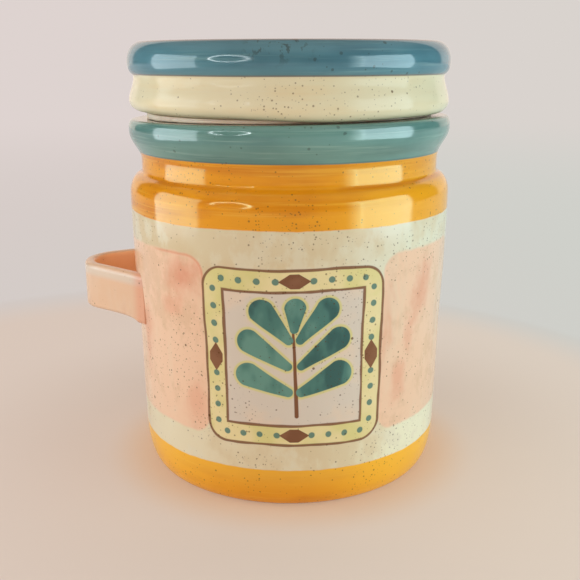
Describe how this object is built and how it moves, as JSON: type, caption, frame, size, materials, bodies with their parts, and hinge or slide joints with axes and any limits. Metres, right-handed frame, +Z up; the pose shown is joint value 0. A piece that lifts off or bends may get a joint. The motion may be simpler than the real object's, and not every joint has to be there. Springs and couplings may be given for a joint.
{
  "type": "ceramic crock",
  "caption": "Round glazed ceramic crock with a drawn-in neck and a swelling rim, a flat-topped two-bead lid on a soft sealing ring, and a spoon loop on its wall.",
  "frame": {"origin": "centre of the foot, where the crock's axis meets the surface that it stands on", "axes": "+Z up along the crock's axis, -X towards the spoon loop, +Y away from the painted panel that faces the viewer"},
  "size_m": [0.1466, 0.1246, 0.1651],
  "materials": {
    "crock_glaze": "gloss glaze over hand-painted bands and panels, fine brown speckle",
    "loop_glaze": "gloss pink glaze, thin at the edges",
    "lid_glaze": "gloss glaze, blue upper bead over a cream lower bead",
    "seal_silicone": "soft translucent silicone"
  },
  "bodies": {
    "crock": {"crock_body": "crock_glaze", "spoon_loop": "loop_glaze"},
    "seal": {"lid_seal": "seal_silicone"},
    "lid": {"lid": "lid_glaze"}
  },
  "joints": [
    {"name": "lid_lift", "type": "slide", "parent": "crock", "child": "seal", "axis": [0, 0, 1], "range_m": [0, 0.1]},
    {"name": "lid_turn", "type": "hinge", "parent": "seal", "child": "lid", "pos_m": [0, 0, 0.1395], "axis": [0, 0, 1], "continuous": true}
  ]
}
